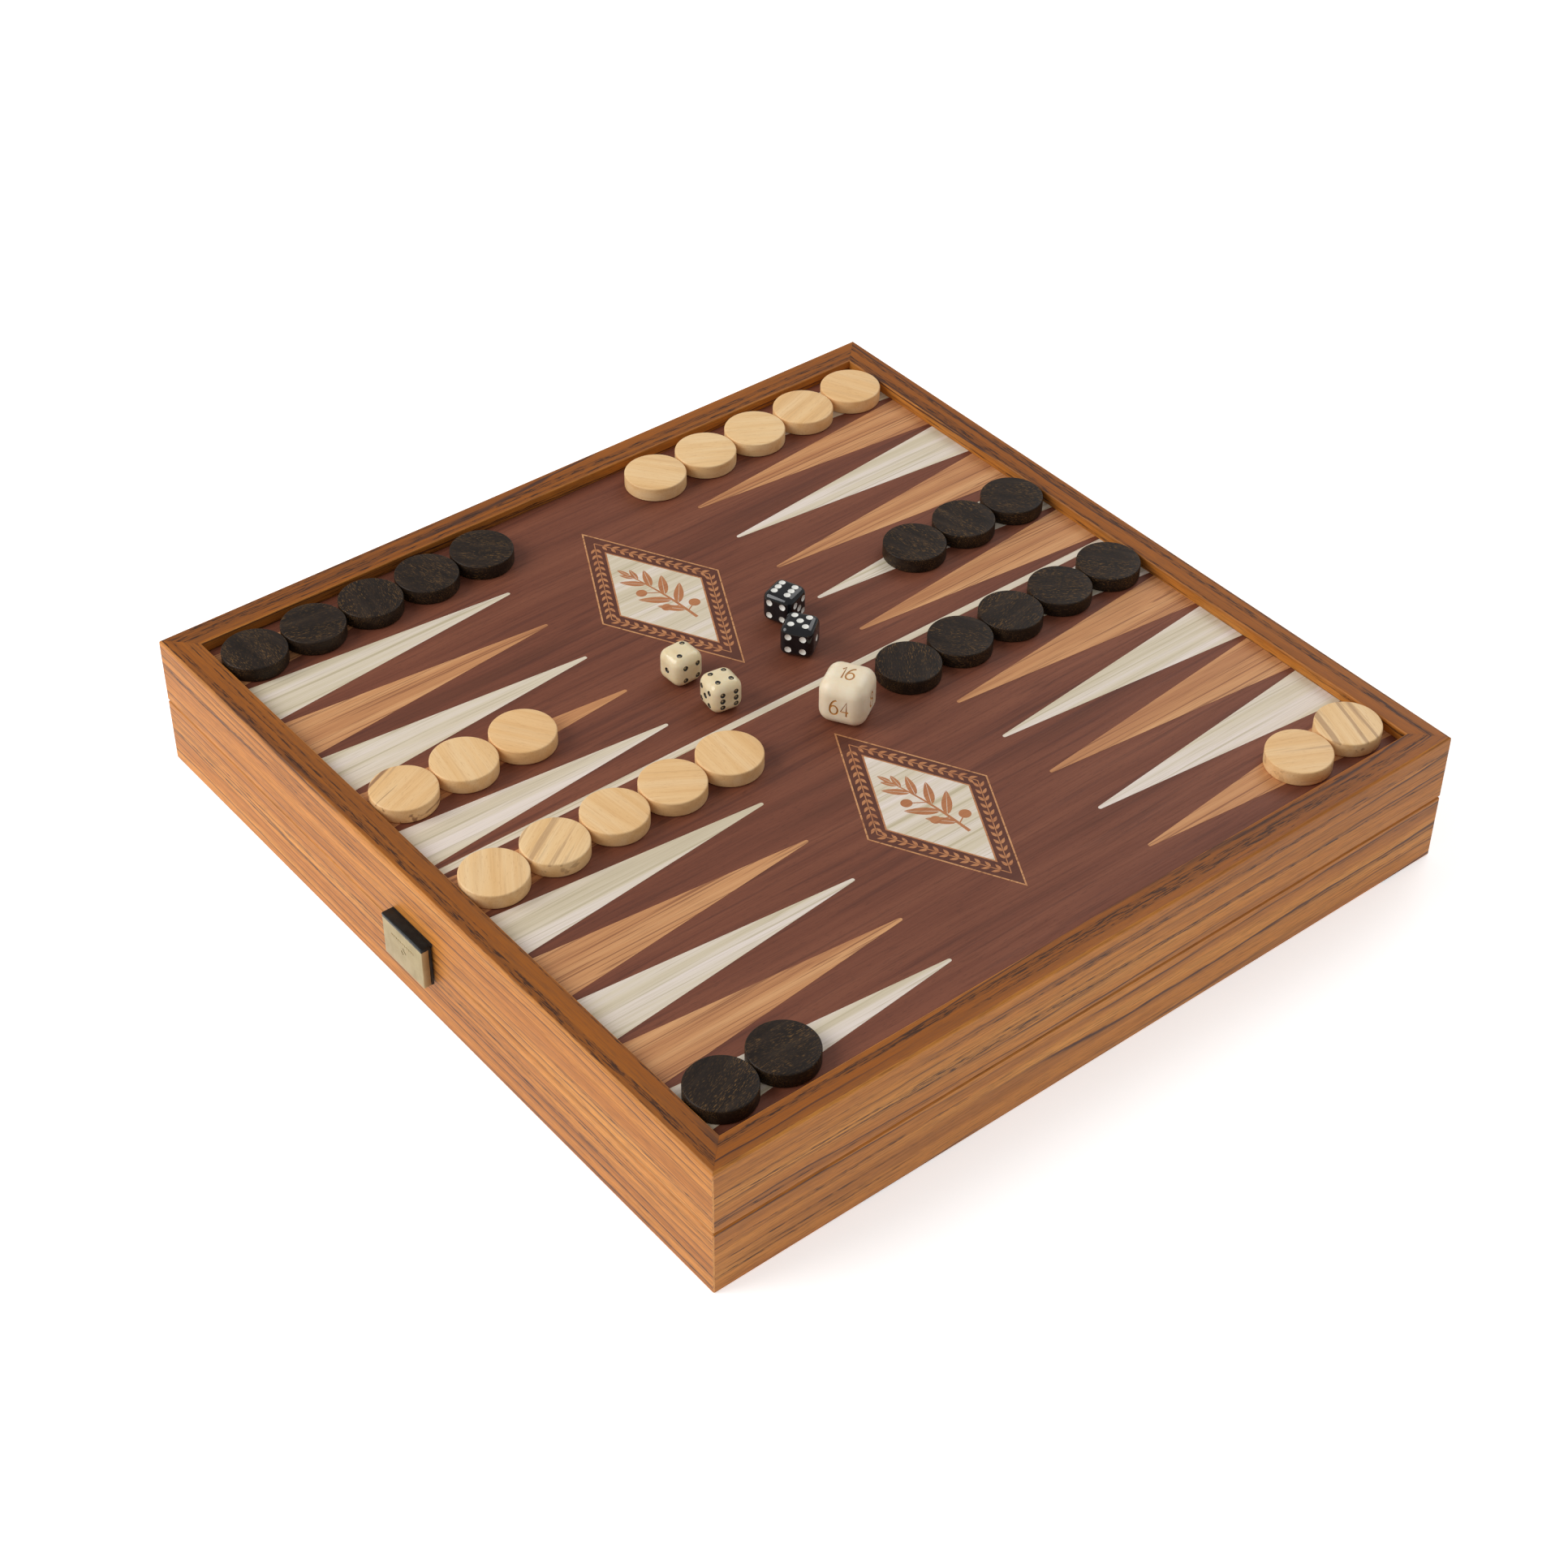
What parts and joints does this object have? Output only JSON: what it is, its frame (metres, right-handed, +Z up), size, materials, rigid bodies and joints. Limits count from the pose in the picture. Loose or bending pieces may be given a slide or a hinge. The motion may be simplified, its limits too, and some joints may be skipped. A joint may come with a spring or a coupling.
{
  "type": "backgammon set",
  "caption": "Hinged square wooden box with a recessed backgammon board on its lid, set up with round checkers, dice, a doubling cube and a pull tab.",
  "frame": {"origin": "centre of the box's underside", "axes": "+Z up out of the playing board, -Y towards the front with the pull tab, +X to the right"},
  "size_m": [0.31, 0.3177, 0.065],
  "materials": {
    "frame_wood": "satin lacquered walnut-grain laminate",
    "board_veneer": "satin reddish brown veneer",
    "inlay_cream": "satin pale veneer with olive streaks",
    "inlay_tan": "satin orange-brown veneer",
    "tray_veneer": "matt veneer",
    "light_wood": "satin beech",
    "dark_wood": "satin stained hardwood with golden flecks",
    "ivory_plastic": "glossy ivory-coloured plastic",
    "black_plastic": "glossy black plastic",
    "bone_plastic": "satin bone-coloured plastic",
    "strap_leather": "smooth black leather",
    "plate_gold": "brushed gold-coloured plate",
    "hinge_brass": "satin brass",
    "pin_steel": "steel wire",
    "screw_brass": "brass screw heads",
    "pip_white": "white pips of the black dice",
    "pip_black": "black rims of the ivory dice's pips",
    "pip_amber": "brown middles of the ivory dice's pips",
    "cube_ink": "tan paint in the cube's engraved numbers",
    "frame_edge": "bright orange-brown lacquered edges of the frame"
  },
  "bodies": {
    "base": {"base_rail_front": "frame_wood", "base_rail_right": "frame_wood", "base_rail_back": "frame_wood", "base_rail_left": "frame_wood", "base_panel": "tray_veneer", "hinge_left_base_leaf": "hinge_brass", "hinge_left_pin": "pin_steel", "hinge_right_base_leaf": "hinge_brass", "hinge_right_pin": "pin_steel"},
    "lid": {"lid_rail_front": "frame_wood", "lid_rail_right": "frame_wood", "lid_rail_back": "frame_wood", "lid_rail_left": "frame_wood", "board_panel": "board_veneer", "tab_root": "strap_leather", "hinge_left_lid_leaf": "hinge_brass", "hinge_right_lid_leaf": "hinge_brass"},
    "tab": {"tab_strap": "strap_leather", "tab_plate": "plate_gold"},
    "checker_light_01": {"checker_light_01": "light_wood"},
    "checker_light_02": {"checker_light_02": "light_wood"},
    "checker_light_03": {"checker_light_03": "light_wood"},
    "checker_light_04": {"checker_light_04": "light_wood"},
    "checker_light_05": {"checker_light_05": "light_wood"},
    "checker_light_06": {"checker_light_06": "light_wood"},
    "checker_light_07": {"checker_light_07": "light_wood"},
    "checker_light_08": {"checker_light_08": "light_wood"},
    "checker_light_09": {"checker_light_09": "light_wood"},
    "checker_light_10": {"checker_light_10": "light_wood"},
    "checker_light_11": {"checker_light_11": "light_wood"},
    "checker_light_12": {"checker_light_12": "light_wood"},
    "checker_light_13": {"checker_light_13": "light_wood"},
    "checker_light_14": {"checker_light_14": "light_wood"},
    "checker_light_15": {"checker_light_15": "light_wood"},
    "checker_dark_01": {"checker_dark_01": "dark_wood"},
    "checker_dark_02": {"checker_dark_02": "dark_wood"},
    "checker_dark_03": {"checker_dark_03": "dark_wood"},
    "checker_dark_04": {"checker_dark_04": "dark_wood"},
    "checker_dark_05": {"checker_dark_05": "dark_wood"},
    "checker_dark_06": {"checker_dark_06": "dark_wood"},
    "checker_dark_07": {"checker_dark_07": "dark_wood"},
    "checker_dark_08": {"checker_dark_08": "dark_wood"},
    "checker_dark_09": {"checker_dark_09": "dark_wood"},
    "checker_dark_10": {"checker_dark_10": "dark_wood"},
    "checker_dark_11": {"checker_dark_11": "dark_wood"},
    "checker_dark_12": {"checker_dark_12": "dark_wood"},
    "checker_dark_13": {"checker_dark_13": "dark_wood"},
    "checker_dark_14": {"checker_dark_14": "dark_wood"},
    "checker_dark_15": {"checker_dark_15": "dark_wood"},
    "die_black_1": {"die_black_1": "black_plastic"},
    "die_black_2": {"die_black_2": "black_plastic"},
    "die_ivory_1": {"die_ivory_1": "ivory_plastic"},
    "die_ivory_2": {"die_ivory_2": "ivory_plastic"},
    "doubling_cube": {"doubling_cube": "bone_plastic"}
  },
  "joints": [
    {"name": "lid_hinge", "type": "hinge", "parent": "base", "child": "lid", "pos_m": [0, 0.15639, 0.0261], "axis": [-1, 0, 0], "range_deg": [0, 180]},
    {"name": "tab_flex", "type": "hinge", "parent": "lid", "child": "tab", "pos_m": [0, -0.15615, 0.03255], "axis": [-1, 0, 0], "range_deg": [0, 85]},
    {"name": "checker_light_01_lift", "type": "slide", "parent": "lid", "child": "checker_light_01", "axis": [0, 0, 1], "range_m": [0, 0.03]},
    {"name": "checker_light_02_lift", "type": "slide", "parent": "lid", "child": "checker_light_02", "axis": [0, 0, 1], "range_m": [0, 0.03]},
    {"name": "checker_light_03_lift", "type": "slide", "parent": "lid", "child": "checker_light_03", "axis": [0, 0, 1], "range_m": [0, 0.03]},
    {"name": "checker_light_04_lift", "type": "slide", "parent": "lid", "child": "checker_light_04", "axis": [0, 0, 1], "range_m": [0, 0.03]},
    {"name": "checker_light_05_lift", "type": "slide", "parent": "lid", "child": "checker_light_05", "axis": [0, 0, 1], "range_m": [0, 0.03]},
    {"name": "checker_light_06_lift", "type": "slide", "parent": "lid", "child": "checker_light_06", "axis": [0, 0, 1], "range_m": [0, 0.03]},
    {"name": "checker_light_07_lift", "type": "slide", "parent": "lid", "child": "checker_light_07", "axis": [0, 0, 1], "range_m": [0, 0.03]},
    {"name": "checker_light_08_lift", "type": "slide", "parent": "lid", "child": "checker_light_08", "axis": [0, 0, 1], "range_m": [0, 0.03]},
    {"name": "checker_light_09_lift", "type": "slide", "parent": "lid", "child": "checker_light_09", "axis": [0, 0, 1], "range_m": [0, 0.03]},
    {"name": "checker_light_10_lift", "type": "slide", "parent": "lid", "child": "checker_light_10", "axis": [0, 0, 1], "range_m": [0, 0.03]},
    {"name": "checker_light_11_lift", "type": "slide", "parent": "lid", "child": "checker_light_11", "axis": [0, 0, 1], "range_m": [0, 0.03]},
    {"name": "checker_light_12_lift", "type": "slide", "parent": "lid", "child": "checker_light_12", "axis": [0, 0, 1], "range_m": [0, 0.03]},
    {"name": "checker_light_13_lift", "type": "slide", "parent": "lid", "child": "checker_light_13", "axis": [0, 0, 1], "range_m": [0, 0.03]},
    {"name": "checker_light_14_lift", "type": "slide", "parent": "lid", "child": "checker_light_14", "axis": [0, 0, 1], "range_m": [0, 0.03]},
    {"name": "checker_light_15_lift", "type": "slide", "parent": "lid", "child": "checker_light_15", "axis": [0, 0, 1], "range_m": [0, 0.03]},
    {"name": "checker_dark_01_lift", "type": "slide", "parent": "lid", "child": "checker_dark_01", "axis": [0, 0, 1], "range_m": [0, 0.03]},
    {"name": "checker_dark_02_lift", "type": "slide", "parent": "lid", "child": "checker_dark_02", "axis": [0, 0, 1], "range_m": [0, 0.03]},
    {"name": "checker_dark_03_lift", "type": "slide", "parent": "lid", "child": "checker_dark_03", "axis": [0, 0, 1], "range_m": [0, 0.03]},
    {"name": "checker_dark_04_lift", "type": "slide", "parent": "lid", "child": "checker_dark_04", "axis": [0, 0, 1], "range_m": [0, 0.03]},
    {"name": "checker_dark_05_lift", "type": "slide", "parent": "lid", "child": "checker_dark_05", "axis": [0, 0, 1], "range_m": [0, 0.03]},
    {"name": "checker_dark_06_lift", "type": "slide", "parent": "lid", "child": "checker_dark_06", "axis": [0, 0, 1], "range_m": [0, 0.03]},
    {"name": "checker_dark_07_lift", "type": "slide", "parent": "lid", "child": "checker_dark_07", "axis": [0, 0, 1], "range_m": [0, 0.03]},
    {"name": "checker_dark_08_lift", "type": "slide", "parent": "lid", "child": "checker_dark_08", "axis": [0, 0, 1], "range_m": [0, 0.03]},
    {"name": "checker_dark_09_lift", "type": "slide", "parent": "lid", "child": "checker_dark_09", "axis": [0, 0, 1], "range_m": [0, 0.03]},
    {"name": "checker_dark_10_lift", "type": "slide", "parent": "lid", "child": "checker_dark_10", "axis": [0, 0, 1], "range_m": [0, 0.03]},
    {"name": "checker_dark_11_lift", "type": "slide", "parent": "lid", "child": "checker_dark_11", "axis": [0, 0, 1], "range_m": [0, 0.03]},
    {"name": "checker_dark_12_lift", "type": "slide", "parent": "lid", "child": "checker_dark_12", "axis": [0, 0, 1], "range_m": [0, 0.03]},
    {"name": "checker_dark_13_lift", "type": "slide", "parent": "lid", "child": "checker_dark_13", "axis": [0, 0, 1], "range_m": [0, 0.03]},
    {"name": "checker_dark_14_lift", "type": "slide", "parent": "lid", "child": "checker_dark_14", "axis": [0, 0, 1], "range_m": [0, 0.03]},
    {"name": "checker_dark_15_lift", "type": "slide", "parent": "lid", "child": "checker_dark_15", "axis": [0, 0, 1], "range_m": [0, 0.03]},
    {"name": "die_black_1_lift", "type": "slide", "parent": "lid", "child": "die_black_1", "axis": [0, 0, 1], "range_m": [0, 0.03]},
    {"name": "die_black_2_lift", "type": "slide", "parent": "lid", "child": "die_black_2", "axis": [0, 0, 1], "range_m": [0, 0.03]},
    {"name": "die_ivory_1_lift", "type": "slide", "parent": "lid", "child": "die_ivory_1", "axis": [0, 0, 1], "range_m": [0, 0.03]},
    {"name": "die_ivory_2_lift", "type": "slide", "parent": "lid", "child": "die_ivory_2", "axis": [0, 0, 1], "range_m": [0, 0.03]},
    {"name": "doubling_cube_lift", "type": "slide", "parent": "lid", "child": "doubling_cube", "axis": [0, 0, 1], "range_m": [0, 0.03]}
  ]
}
